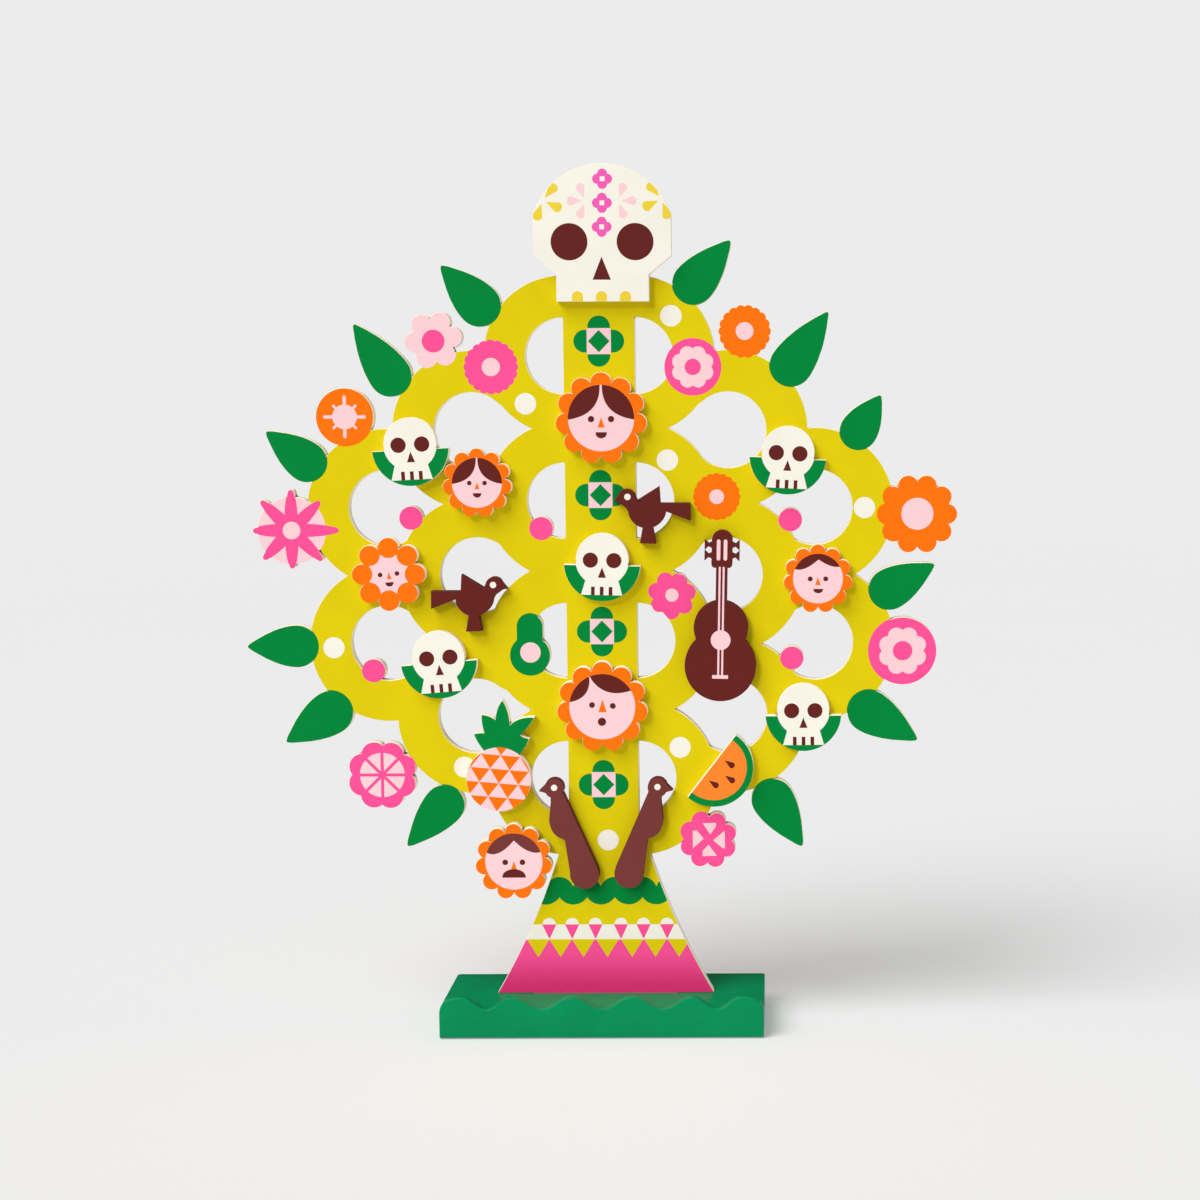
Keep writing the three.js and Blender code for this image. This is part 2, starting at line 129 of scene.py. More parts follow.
def lobed(count, outer, lobe, turn=0):
    """A ring of round lobes that meet in notches."""
    ring, half = outer - lobe, math.pi / count
    reach = math.sqrt(lobe**2 - (ring * math.sin(half)) ** 2)
    notch = ring * math.cos(half) + reach
    sweep = math.degrees(math.atan2(notch * math.sin(half), notch * math.cos(half) - ring))
    points = []
    for i in range(count):
        angle = turn + 360 * i / count
        x, z = ring * math.cos(math.radians(angle)), ring * math.sin(math.radians(angle))
        points += arc(x, z, lobe, angle - sweep, angle + sweep)[:-1]
    return points


def petal(length, half):
    """A long blunt petal that points to the right, with its root near the origin."""
    root, widest = 3, 0.7 * length
    point = tip(length, PETAL_TIP)
    lower = curve((root, -half), (widest, -half), point[0])
    upper = curve(point[-1], (widest, half), (root, half))
    return lower + point[1:-1] + upper


def drop(length, half):
    """A drop that starts as a point at the origin and ends round, to the right."""
    return [(0, 0)] + arc(length - half, 0, half, -75, 75)


def stadium(x, z, width, height):
    """An upright bar with round ends."""
    half = width / 2
    reach = height / 2 - half
    return arc(x, z + reach, half, 0, 180) + arc(x, z - reach, half, 180, 360)


def triangle(x, base, apex, half):
    """An upright triangle, or one that points down where the apex is lower than the base."""
    return [(x - half, base), (x, apex), (x + half, base)]


# ---------------------------------------------------------------- outlines taken from the frame


def front_loops(node):
    """The border loops of a node's flat front face, as (x, z) in mm, with the solid on their left."""
    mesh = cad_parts[node].data
    front = min(v.co.y for v in mesh.vertices)
    corners = [(round(v.co.x / MM, 3), round(v.co.z / MM, 3)) for v in mesh.vertices]
    edges = set()
    for polygon in mesh.polygons:
        if max(abs(mesh.vertices[i].co.y - front) for i in polygon.vertices) < TINY:
            points = [corners[i] for i in polygon.vertices]
            edges.update(zip(points, points[1:] + points[:1]))
    follow = {a: b for a, b in edges if (b, a) not in edges}
    loops = []
    while follow:
        start, point = follow.popitem()
        loop = [start]
        while point != start:
            loop.append(point)
            point = follow.pop(point)
        loops.append(loop)
    return loops


def without_slivers(loop):
    """The loop with points that nearly coincide made one."""
    kept = [loop[0]]
    for point in loop[1:]:
        if math.dist(point, kept[-1]) > SHORTEST_SIDE:
            kept.append(point)
    if math.dist(kept[0], kept[-1]) <= SHORTEST_SIDE:
        kept.pop()
    return kept


def smoothed(loop):
    """The same loop with its faceted curves made fine.

    A straight side gets only the points where a burn at either end of it would stop.
    """
    points = [Vector(p) for p in without_slivers(loop)]
    count = len(points)
    steps = [points[(i + 1) % count] - points[i] for i in range(count)]

    def tangent(i):
        a, b = steps[i - 1], steps[i % count]
        straight_a, straight_b = a.length > LONGEST_ARC_STEP, b.length > LONGEST_ARC_STEP
        if abs(a.angle_signed(b)) > CORNER_TURN or (straight_a and straight_b):
            return None
        if straight_a or straight_b:
            return (a if straight_a else b).normalized()
        return (a / a.length_squared + b / b.length_squared).normalized()

    fine = []
    for i in range(count):
        step = steps[i]
        fine.append(tuple(points[i]))
        leaving, arriving = tangent(i), tangent(i + 1)
        if step.length > LONGEST_ARC_STEP:
            stop = BURN_REACH * step.normalized()
            fine += [tuple(points[i] + stop), tuple(points[i] + step - stop)]
            continue
        if leaving is None and arriving is None:
            continue
        along = step.normalized()
        if leaving is None:
            leaving = 2 * arriving.dot(along) * along - arriving
        if arriving is None:
            arriving = 2 * leaving.dot(along) * along - leaving
        turn = abs(leaving.angle_signed(arriving))
        pieces = max(1, math.ceil(turn / FINEST_TURN))
        for k in range(1, pieces):
            t = k / pieces
            bend = (t**3 - 2 * t**2 + t) * leaving + (t**3 - t**2) * arriving
            fine.append(tuple(points[i] + step * (3 * t**2 - 2 * t**3) + bend * step.length))
    return fine


def inset(loop, distance, drop_by=0):
    """The loop moved into the solid on its left, and lowered."""
    count = len(loop)
    moved = []
    for i, point in enumerate(loop):
        a = (Vector(point) - Vector(loop[i - 1])).normalized()
        b = (Vector(loop[(i + 1) % count]) - Vector(point)).normalized()
        left_a, left_b = Vector((-a.y, a.x)), Vector((-b.y, b.x))
        mitre = (left_a + left_b).normalized() if (left_a + left_b).length > TINY else left_a
        reach = distance / max(mitre.dot(left_a), SHARPEST_MITRE)
        moved.append((point[0] + mitre.x * reach, point[1] + mitre.y * reach - drop_by))
    return moved


def notch_burn(loop):
    """How burnt each point is: 1 in a sharp inner corner, where the laser dwelt, and 0 away from it."""
    count = len(loop)
    notches = []
    for i, point in enumerate(loop):
        a = Vector(point) - Vector(loop[i - 1])
        b = Vector(loop[(i + 1) % count]) - Vector(point)
        if a.angle_signed(b) > CORNER_TURN:
            notches.append(point)
    return [max([0.0] + [1 - math.dist(p, n) / BURN_REACH for n in notches]) for p in loop]


# ---------------------------------------------------------------- meshes

SHARP_EDGE = math.radians(38)
# A quarter round, from the face of a board to its edge, as shares of the radius: inwards and down
QUARTER_ROUND = [(1, 0), (0.6, 0.08), (0.29, 0.29), (0.08, 0.6), (0, 1)]
MERGED = 1e-5  # points of a drawing that are closer than this become one
EDGE, FRONT, BACK = 0, 1, 2  # where a board's materials go


def upright(x, z, depth):
    """A drawn point at a depth, as a place in the frame."""
    return (x * MM, depth * MM, z * MM)


def new_piece(name, vertices, faces, materials, indices, flat=(), attributes=None):
    """A mesh that rides on the ornament's body. The faces in flat are shaded flat, the rest smooth."""
    mesh = bpy.data.meshes.new(name)
    mesh.from_pydata(vertices, [], faces)
    for material in materials:
        mesh.materials.append(material)
    mesh.polygons.foreach_set("material_index", indices)
    mesh.polygons.foreach_set("use_smooth", [i not in flat for i in range(len(faces))])
    mesh.set_sharp_from_angle(angle=SHARP_EDGE)
    for key, values in (attributes or {}).items():
        mesh.attributes.new(key, "FLOAT", "POINT").data.foreach_set("value", values)
    mesh.validate()
    piece = bpy.data.objects.new(name, mesh)
    bpy.context.scene.collection.objects.link(piece)
    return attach(piece, "root")


def cells(polygons):
    """The regions that the polygons cut the plane into.

    Given back are the points, the triangles, the drawn points that each point stands for, and the
    polygons that lie over each triangle.
    """
    coords, faces = [], []
    for polygon in polygons:
        ordered = polygon if area(polygon) > 0 else polygon[::-1]
        faces.append(list(range(len(coords), len(coords) + len(ordered))))
        coords += [Vector(p) for p in ordered]
    points, _, triangles, origins, _, owners = delaunay_2d_cdt(coords, [], faces, 1, MERGED, True)
    return points, triangles, origins, owners


def is_solid(owners, loops):
    """Whether a cell lies inside the outer loops and outside the holes."""
    over = [area(loops[i]) > 0 for i in owners if i < len(loops)]
    return bool(over) and all(over)


def drawn_points(loops):
    """For each point that cells() is given for these loops, its loop and its place in that loop."""
    drawn = []
    for k, loop in enumerate(loops):
        order = range(len(loop)) if area(loop) > 0 else range(len(loop) - 1, -1, -1)
        drawn += [(k, i) for i in order]
    return drawn


def extruded(name, loops, front, back, materials, rounding=EDGE_ROUND):
    """A board with rounded edges. The materials are those of the edge, the front and the back."""
    front_rounding = range(len(QUARTER_ROUND) - 1)
    rings = [(inwards * rounding, front + down * rounding) for inwards, down in QUARTER_ROUND]
    rings += [(inwards * rounding, back - down * rounding) for inwards, down in QUARTER_ROUND[::-1]]
    vertices, faces, indices, burn, first = [], [], [], [], []
    for loop in loops:
        count = len(loop)
        first.append(len(vertices))
        burns = notch_burn(loop)
        for distance, depth in rings:
            vertices += [upright(x, z, depth) for x, z in inset(loop, distance)]
            burn += burns
        for r in range(len(rings) - 1):
            a, b = first[-1] + r * count, first[-1] + (r + 1) * count
            for i in range(count):
                j = (i + 1) % count
                faces.append((a + i, b + i, b + j, a + j))
                indices.append(FRONT if r in front_rounding else EDGE)
    drawn, flat = drawn_points(loops), set()
    points, triangles, origins, owners = cells([inset(loop, rounding) for loop in loops])
    for end, ring, depth in ((FRONT, 0, front), (BACK, len(rings) - 1, back)):
        lookup = []
        for point, origin in zip(points, origins):
            if origin:
                k, i = drawn[origin[0]]
                lookup.append(first[k] + ring * len(loops[k]) + i)
            else:
                lookup.append(len(vertices))
                vertices.append(upright(point.x, point.y, depth))
                burn.append(0.0)
        for cell, owner in zip(triangles, owners):
            if is_solid(owner, loops):
                corners = [lookup[i] for i in cell]
                flat.add(len(faces))
                faces.append(corners if end == FRONT else corners[::-1])
                indices.append(end)
    return new_piece(name, vertices, faces, materials, indices, flat, {"burn": burn})


def printed(name, loops, front, base, shapes):
    """The print on a board's front: one sheet of ink, cut into the regions of its colours.

    Each shape is drawn over the ones before it.
    """
    outlines = [inset(loop, EDGE_ROUND, PRINT_DROP) for loop in loops]
    points, triangles, _, owners = cells(outlines + [shape for _, shape in shapes])
    colours = [base] + sorted({colour for colour, _ in shapes} - {base})
    outer, inner = front - PRINT_THICKNESS, front + PRINT_SINK
    vertices = [upright(p.x, p.y, outer) for p in points] + [upright(p.x, p.y, inner) for p in points]
    faces, indices, edges = [], [], {}
    for cell, owner in zip(triangles, owners):
        if not is_solid(owner, loops):
            continue
        top = max([i for i in owner if i >= len(loops)], default=None)
        colour = base if top is None else shapes[top - len(loops)][0]
        index = colours.index(colour)
        faces.append(tuple(cell))
        indices.append(index)
        faces.append(tuple(i + len(points) for i in cell[::-1]))
        indices.append(index)
        for a, b in zip(cell, list(cell[1:]) + [cell[0]]):
            edges[(a, b)] = index
    for (a, b), index in edges.items():
        if (b, a) not in edges:
            faces.append((a, a + len(points), b + len(points), b))
            indices.append(index)
    used = sorted({i for face in faces for i in face})
    renumbered = {old: new for new, old in enumerate(used)}
    faces = [tuple(renumbered[i] for i in face) for face in faces]
    vertices = [vertices[i] for i in used]
    materials = [INK[colour] for colour in colours]
    return new_piece(name, vertices, faces, materials, indices, flat=set(range(len(faces))))


# ---------------------------------------------------------------- materials


def linear(rgb):
    """A colour as it looks, 0 to 255, as the light values that a shader takes."""
    shares = [value / 255 for value in rgb]
    return tuple(c / 12.92 if c <= 0.04045 else ((c + 0.055) / 1.055) ** 2.4 for c in shares) + (1,)


class Recipe:
    """A new material with a Principled shader, and short calls that add nodes to it."""

    def __init__(self, name, **values):
        self.material = bpy.data.materials.new(name)
        self.material.use_nodes = True
        self.nodes = self.material.node_tree.nodes
        self.links = self.material.node_tree.links
        self.shader = self.nodes["Principled BSDF"]
        for key, value in values.items():
            self.shader.inputs[key.replace("_", " ")].default_value = value
        self.place = self.nodes.new("ShaderNodeTexCoord").outputs["Object"]

    def stretched(self, x, y, z):
        mapping = self.nodes.new("ShaderNodeMapping")
        mapping.inputs["Scale"].default_value = (x, y, z)
        self.links.new(self.place, mapping.inputs["Vector"])
        return mapping.outputs["Vector"]

    def noise(self, scale, detail=3.0, vector=None, roughness=0.55):
        node = self.nodes.new("ShaderNodeTexNoise")
        node.inputs["Scale"].default_value = scale
        node.inputs["Detail"].default_value = detail
        node.inputs["Roughness"].default_value = roughness
        self.links.new(vector or self.place, node.inputs["Vector"])
        return node.outputs["Fac"]

    def ramp(self, value, low, high, low_to, high_to):
        node = self.nodes.new("ShaderNodeMapRange")
        limits = {"From Min": low, "From Max": high, "To Min": low_to, "To Max": high_to}
        for key, limit in limits.items():
            node.inputs[key].default_value = limit
        self.links.new(value, node.inputs["Value"])
        return node.outputs["Result"]

    def math(self, operation, a, b):
        node = self.nodes.new("ShaderNodeMath")
        node.operation = operation
        for socket, value in zip(node.inputs, (a, b)):
            if isinstance(value, (int, float)):
                socket.default_value = value
            else:
                self.links.new(value, socket)
        return node.outputs["Value"]

    def mix(self, share, first, second):
        node = self.nodes.new("ShaderNodeMix")
        node.data_type = "RGBA"
        for key, value in (("A", first), ("B", second)):
            socket = next(s for s in node.inputs if s.name == key and s.type == "RGBA")
            if isinstance(value, tuple):
                socket.default_value = value
            else:
                self.links.new(value, socket)
        self.links.new(share, node.inputs["Factor"])
        return next(s for s in node.outputs if s.type == "RGBA")

    def attribute(self, name):
        node = self.nodes.new("ShaderNodeAttribute")
        node.attribute_name = name
        return node.outputs["Fac"]

    def bump(self, height, strength, distance, below=None):
        node = self.nodes.new("ShaderNodeBump")
        node.inputs["Strength"].default_value = strength
        node.inputs["Distance"].default_value = distance
        self.links.new(height, node.inputs["Height"])
        if below is not None:
            self.links.new(below, node.inputs["Normal"])
        return node.outputs["Normal"]

    def set(self, key, output):
        self.links.new(output, self.shader.inputs[key])


def scaled(colour, factor):
    return tuple(min(1.0, c * factor) for c in colour[:3]) + (1,)


def ink_material(name, rgb, deeper=None):
    """Matte ink on fibreboard: faint clouding, a fine dot grain and the board's fibres showing through.

    The deeper colour, where there is one, is painted shade that the ink turns to towards the foot of the
    skirt.
    """
    recipe = Recipe(name, Specular_IOR_Level=0.04)
    colour = linear(rgb)
    clouds = recipe.ramp(recipe.noise(45, 4), 0.3, 0.7, 0, 1)
    grain = recipe.ramp(recipe.noise(5200, 2), 0.35, 0.65, 0, 1)
    tone = recipe.mix(clouds, scaled(colour, 0.955), scaled(colour, 1.03))
    # Painted shade: the colour darkens to the deeper one towards the foot of the skirt.
    if deeper:
        split = recipe.nodes.new("ShaderNodeSeparateXYZ")
        recipe.links.new(recipe.place, split.inputs["Vector"])
        tone = recipe.mix(recipe.ramp(split.outputs["Z"], PAINTED_SHADE_FROM, PAINTED_SHADE_TO, 0, 1), tone, linear(deeper))
    recipe.set("Base Color", recipe.mix(recipe.math("MULTIPLY", grain, 0.5), tone, scaled(colour, 0.95)))
    recipe.set("Roughness", recipe.ramp(recipe.noise(160, 3), 0.3, 0.7, 0.44, 0.58))
    fibres = recipe.noise(1.0, 3, recipe.stretched(420, 420, 1500))
    coarse = recipe.bump(recipe.noise(700, 3), 0.12, 0.0002)
    recipe.set("Normal", recipe.bump(fibres, 0.10, 0.0001, coarse))
    return recipe.material


def cut_edge_material(name, light, dark, toast):
    """A laser-cut edge with fine marks along the beam, toasted in layers, and burnt in the notches."""
    recipe = Recipe(name, Roughness=0.75, Specular_IOR_Level=0.08)
    marks = recipe.noise(1.0, 3, recipe.stretched(2600, 90, 2600))
    layers = recipe.noise(1.0, 3, recipe.stretched(60, 1800, 60))
    pale = recipe.mix(recipe.ramp(marks, 0.3, 0.7, 0, 1), linear(light), linear(dark))
    toasted = recipe.mix(recipe.ramp(layers, 0.55, 0.8, 0, 0.4), pale, linear(toast))
    patches = recipe.ramp(recipe.noise(120, 3), 0.35, 0.75, 0.35, 1.0)
    burn = recipe.math("MULTIPLY", recipe.attribute("burn"), patches)
    burnt = recipe.ramp(burn, 0.12, 0.75, 0, 1)
    recipe.set("Base Color", recipe.mix(burnt, toasted, linear((52, 30, 20))))
    recipe.set("Normal", recipe.bump(marks, 0.35, 0.0002))
    return recipe.material


def bare_board_material():
    """The unprinted face of the fibreboard: felted fibres and a few darker flecks."""
    recipe = Recipe("bare_board", Roughness=0.8, Specular_IOR_Level=0.2)
    felt = recipe.ramp(recipe.noise(900, 5, roughness=0.7), 0.3, 0.7, 0, 1)
    clouds = recipe.ramp(recipe.noise(35, 3), 0.3, 0.7, 0, 1)
    tone = recipe.mix(felt, linear((205, 176, 134)), linear((188, 154, 110)))
    tone = recipe.mix(recipe.math("MULTIPLY", clouds, 0.45), tone, linear((214, 190, 152)))
    flecks = recipe.ramp(recipe.noise(2400, 2), 0.66, 0.74, 0, 0.6)
    recipe.set("Base Color", recipe.mix(flecks, tone, linear((120, 84, 54))))
    recipe.set("Normal", recipe.bump(felt, 0.25, 0.0002))
    return recipe.material


def sealed_face_material(name, light, dark):
    """The sealed face that shows as a thin rim round the print."""
    recipe = Recipe(name, Roughness=0.6, Specular_IOR_Level=0.1)
    felt = recipe.ramp(recipe.noise(1500, 3), 0.3, 0.7, 0, 1)
    recipe.set("Base Color", recipe.mix(felt, linear(light), linear(dark)))
    recipe.set("Normal", recipe.bump(felt, 0.15, 0.0001))
    return recipe.material


def base_paint_material():
    """Satin green paint, brushed along the block, with the wood's pores showing faintly."""
    recipe = Recipe("base_green_paint", Specular_IOR_Level=0.08)
    colour = linear((0, 134, 82))
    clouds = recipe.ramp(recipe.noise(60, 4), 0.3, 0.7, 0, 1)
    strokes = recipe.noise(1.0, 4, recipe.stretched(35, 1100, 1100))
    pores = recipe.noise(1.0, 2, recipe.stretched(160, 2600, 2600))
    tone = recipe.mix(clouds, scaled(colour, 0.92), scaled(colour, 1.06))
    streaks = recipe.ramp(strokes, 0.35, 0.65, 0, 0.5)
    recipe.set("Base Color", recipe.mix(streaks, tone, scaled(colour, 0.88)))
    recipe.set("Roughness", recipe.ramp(strokes, 0.3, 0.7, 0.3, 0.42))
    lower = recipe.bump(strokes, 0.10, 0.0003)
    recipe.set("Normal", recipe.bump(recipe.ramp(pores, 0.2, 0.42, 0, 1), 0.10, 0.0002, lower))
    return recipe.material


def steel_material():
    """Zinc-plated steel with turning marks and a dull patchy bloom."""
    recipe = Recipe("zinc_steel", Metallic=1.0)
    bloom = recipe.ramp(recipe.noise(700, 4), 0.3, 0.7, 0, 1)
    marks = recipe.noise(1.0, 2, recipe.stretched(900, 900, 5000))
    recipe.set("Base Color", recipe.mix(bloom, linear((186, 188, 186)), linear((154, 156, 152))))
    recipe.set("Roughness", recipe.ramp(marks, 0.3, 0.7, 0.28, 0.5))
    recipe.set("Normal", recipe.bump(marks, 0.2, 0.0001))
    return recipe.material


def pad_material():
    """Dark closed-cell foam rubber with open pores."""
    recipe = Recipe("foam_rubber", Roughness=0.85, Specular_IOR_Level=0.3)
    cell = recipe.nodes.new("ShaderNodeTexVoronoi")
    cell.inputs["Scale"].default_value = 2600
    recipe.links.new(recipe.place, cell.inputs["Vector"])
    pores = recipe.ramp(cell.outputs["Distance"], 0.1, 0.5, 0, 1)
    recipe.set("Base Color", recipe.mix(pores, linear((34, 34, 33)), linear((62, 62, 60))))
    recipe.set("Normal", recipe.bump(pores, 0.5, 0.0002))
    return recipe.material


INK_COLOURS = {
    "yellow": (218, 198, 10),
    "green": (0, 129, 56),
    "pink": (246, 80, 147),
    "orchid": (236, 92, 176),
    "pale_pink": (244, 202, 206),
    "orange": (247, 113, 12),
    "melon": (249, 131, 44),
    "brown": (98, 36, 32),
    "red_brown": (114, 55, 52),
    "cream": (238, 234, 221),
    "skull_yellow": (232, 204, 58),
}
PAINTED_SHADE_FROM, PAINTED_SHADE_TO = 0.029, 0.0155  # heights between which painted shade deepens the skirt's pink, in metres
INK = {name: ink_material("ink_" + name, rgb) for name, rgb in INK_COLOURS.items()}
# The skirt's lowest pink band, with painted shade that deepens it towards the foot.
INK["hem"] = ink_material("ink_pink_painted_shade", INK_COLOURS["pink"], deeper=(226, 40, 110))
PALE_EDGE = cut_edge_material("cut_edge", (255, 247, 228), (248, 236, 208), (216, 184, 140))
STAINED_EDGE = cut_edge_material("stained_edge", (104, 46, 38), (86, 35, 29), (70, 28, 24))
PALE_FACE = sealed_face_material("sealed_face", (248, 240, 216), (240, 227, 194))
STAINED_FACE = sealed_face_material("stained_face", (110, 48, 42), (96, 40, 36))
BARE = bare_board_material()
PAINT = base_paint_material()
STEEL = steel_material()
FOAM = pad_material()


# ---------------------------------------------------------------- the tree board's print

LEAVES = [  # x, z, direction of the tip, length, radius of the round end
    (-48.2, 297.2, 134, 21.9, 8.8),
    (-84.8, 269, 125, 25.1, 8.7),
    (-119.6, 234.1, 143, 20.2, 8.4),
    (-125.2, 158.4, 180, 20.4, 8.7),
    (-112, 130.9, 213, 22.2, 9.1),
    (-66, 92.2, 228, 23.1, 8.4),
    (38.6, 305.7, 49, 22.5, 8.7),
    (77.9, 272.7, 55, 26, 8.8),
    (105.3, 246, 58, 16.9, 7.8),
    (118, 181.3, 29, 20.9, 8.6),
    (109.6, 130.8, -31, 23.1, 9),
    (69.8, 94, -58, 22.9, 8.8),
]
BERRIES = [(-77.5, 211), (-24.4, 206.6), (77.4, 209.9), (-94.1, 148.2), (77.9, 153)]
BERRY_RADIUS = 4.85
DOTS = [
    (-30.1, 257.3),
    (29.3, 292.6),
    (27.4, 234.3),
    (107.7, 214.7),
    (-110.2, 157.7),
    (31.7, 115.9),
    (1.6, 77.1),
    (-57.4, 107.9),
]
DOT_RADIUS = 4.35
TILES = [282.5, 220.1, 164.1, 100.4]
STAR_PETALS = [  # direction, length
    (0, 19),
    (45, 16.4),
    (90, 16.8),
    (135, 17.3),
    (180, 15.8),
    (225, 16.6),
    (270, 15.6),
    (315, 17.3),
]
OVERLAP = 0.3  # how far a printed shape reaches past its cut outline, so that no yellow shows round it


def frilled(colour, count, outer, lobe, heart, turn=0):
    """A ring of round lobes with a pale heart."""
    return [(colour, lobed(count, outer, lobe, turn)), ("pale_pink", circle(0, 0, heart))]


def blossom(disc, outer, lobe, heart):
    """A pale eight-lobed blossom on a pink disc."""
    petals = ("pale_pink", lobed(8, outer, lobe, 22.5))
    return [("pink", circle(0, 0, disc)), petals, ("pink", circle(0, 0, heart))]


def six_petals():
    petals = lobed(6, 11.7 + OVERLAP, 4.2 + OVERLAP, 8)
    return [("pale_pink", petals), ("pink", circle(0, -0.6, 4.6))]


def sun():
    """A pale sun with four long rays and four short ones, on an orange disc."""
    shapes = [("orange", circle(0, 0, 11.7 + OVERLAP)), ("pale_pink", circle(0, 0, 5))]
    root = 3
    for first, reach, width in ((0, 8.7, 1.35), (45, 6.9, 1.05)):
        half = width / 2
        ray = [(root, -half)] + arc(reach - half, 0, half, -90, 90) + [(root, half)]
        shapes += [("pale_pink", placed(ray, 0, 0, first + turn)) for turn in (0, 90, 180, 270)]
    return shapes


def star_flower():
    shapes = [("pale_pink", circle(0, 0, 13.8 + OVERLAP))]
    for turn, length in STAR_PETALS:
        shapes.append(("pink", placed(petal(length + OVERLAP, 2.75), 0, 0, turn)))
    return shapes + [("pale_pink", circle(0, 0, 3.6))]


def citrus_flower():
    """Eight pale wedges, parted by thin pink lines."""
    half, gap, reach = 22.5, 0.65, 9.25
    root = gap / math.sin(math.radians(half))
    spread = half - math.degrees(math.asin(gap / reach))
    wedge = [(root, 0)] + arc(0, 0, reach, -spread, spread, 4)
    shapes = [("pink", lobed(8, 14.4 + OVERLAP, 5.4 + OVERLAP, 21))]
    return shapes + [("pale_pink", placed(wedge, 0, 0, half + 2 * half * i)) for i in range(8)]


def cross_flower():
    """Four pale panes, parted by a pink cross that leans to the right."""
    panes = [
        [(3.15, 7), (-2.4, 6.9), (0.8, 2.2), (3.25, 5.6)],
        [(-6.5, 3.6), (-6.4, -3.7), (-1.95, 0.35), (-4.75, 3.85)],
        [(-2.4, -7), (3.5, -6.85), (0.05, -2.1), (-2.4, -4.8)],
        [(6.8, 3.3), (6.5, 3.5), (2, -0.3), (5.9, -3.7), (6.9, -3.7)],
    ]
    shapes = [("pink", lobed(8, 12 + OVERLAP, 3.8 + OVERLAP, 20))]
    return shapes + [("pale_pink", pane) for pane in panes]


FLOWERS = [  # x, z, artwork
    (-67.1, 283.3, six_petals()),
    (-43.9, 272.2, frilled("pink", 20, 11.1, 2, 3.7)),
    (38, 272, blossom(11.6, 8.75, 3.1, 3.3)),
    (59.1, 286.4, frilled("orange", 18, 10.9, 2.2, 3.6)),
    (47.4, 219.3, frilled("orange", 20, 9.7, 1.8, 3)),
    (-103.7, 252.2, sun()),
    (-126.4, 206, star_flower()),
    (129.3, 212.1, frilled("orange", 10, 16.3 + OVERLAP, 4.2 + OVERLAP, 6.55)),
    (123.4, 155.8, blossom(14.2, 10.05, 3.5, 4)),
    (-91.4, 104.7, citrus_flower()),
    (43.1, 77.2, cross_flower()),
    (28.8, 179, frilled("pink", 7, 9.6 + OVERLAP, 3.1 + OVERLAP, 2.7, 11)),
]


def avocado():
    """A narrow round top, a wide round foot, and a pale stone."""
    x, top, foot, stone = -29.5, 166.3, 154.3, 155.5
    narrow, wide = 5.2 + OVERLAP, 8.1 + OVERLAP
    return [
        ("green", circle(x, top, narrow)),
        ("green", rectangle(x - narrow, foot, x + narrow, top)),
        ("green", circle(x, foot, wide)),
        ("pale_pink", circle(x, stone, 4.2)),
    ]


def tile(z):
    """A green quatrefoil round a pale panel with a green diamond."""
    half, lobe, wide, tall, corner = 10.3, 4.6, 4.9, 5.25, 0.6
    shapes = []
    for turn, side in ((0, tall), (90, wide), (180, tall), (270, wide)):
        outline = arc(0, half - lobe, lobe, 0, 180) + [(-lobe, side), (lobe, side)]
        shapes.append(("green", placed(outline, 0, z, turn)))
    panel = []
    for sign_x, sign_z, start in ((1, 1, 0), (-1, 1, 90), (-1, -1, 180), (1, -1, 270)):
        panel += arc(sign_x * (wide - corner), sign_z * (tall - corner), corner, start, start + 90, 15)
    shapes.append(("pale_pink", placed(panel, 0, z)))
    tip_x, tip_z = wide - 0.5, tall - 0.75
    shapes.append(("green", [(0, z - tip_z), (tip_x, z), (0, z + tip_z), (-tip_x, z)]))
    return shapes


def scalloped_band(top, bottom):
    """The outline of the skirt's green band: round crests above and round bulges below."""
    pitch, first, crest, bulge = 11.5, 4.1, 6.13, 6.88
    crests = [first + pitch * i for i in range(-4, 5)]
    points = []
    for x in crests[::-1]:
        points += arc(x, top - crest, crest, 20, 160, 8)
    for x in crests:
        points += arc(x + pitch / 2, bottom + bulge, bulge, 213.3, 326.7, 8)
    return points


def skirt():
    """The bands round the foot of the trunk, from the top down."""
    wide = 60  # past the skirt on both sides
    top, foot = 41.5, 35.2  # of the cream band
    pennants = [-23.3, -13.8, -4.1, 6.5, 15.9, 25.7]
    shapes = [("green", scalloped_band(61.6, 49.9))]
    shapes += [("cream", circle(x, top, 2.75)) for x in pennants]
    shapes.append(("cream", rectangle(-wide, foot, wide, top)))
    # The lowest band: pink with painted shade towards the foot.
    shapes.append(("hem", rectangle(-wide, 0, wide, foot)))
    for x in [-33.3] + pennants:
        shapes.append(("pink", triangle(x, top, foot, 2.95)))
    shapes.append(("cream", rectangle(-wide, foot, wide, foot + 0.4)))
    shapes.append(("yellow", rectangle(-wide, foot - 0.3, wide, foot)))
    for x in (-28, -18.7, -9.2, 0.8, 11.1, 20.8, 30.6):
        shapes.append(("yellow", triangle(x, foot - 0.2, 27.6, 4.55)))
    return shapes


def tree_print():
    shapes = []
    for x, z, turn, length, radius in LEAVES:
        shapes.append(("green", placed(leaf(length + OVERLAP, radius + OVERLAP / 2), x, z, turn)))
    shapes += [("pink", circle(x, z, BERRY_RADIUS)) for x, z in BERRIES]
    shapes += [("cream", circle(x, z, DOT_RADIUS)) for x, z in DOTS]
    for x, z, artwork in FLOWERS:
        shapes += [(colour, placed(points, x, z)) for colour, points in artwork]
    shapes += avocado()
    for z in TILES:
        shapes += tile(z)
    return shapes + skirt()


# ---------------------------------------------------------------- the raised figures' prints


def dome(x, flat, half, height):
    """A flat-bottomed dome, or a bowl where the height is negative."""
    crown, shoulder = flat + height, flat + 0.9 * height
    left = curve((x - half, flat), (x - half, shoulder), (x, crown), 8)
    right = curve((x, crown), (x + half, shoulder), (x + half, flat), 8)
    return left + right[1:]


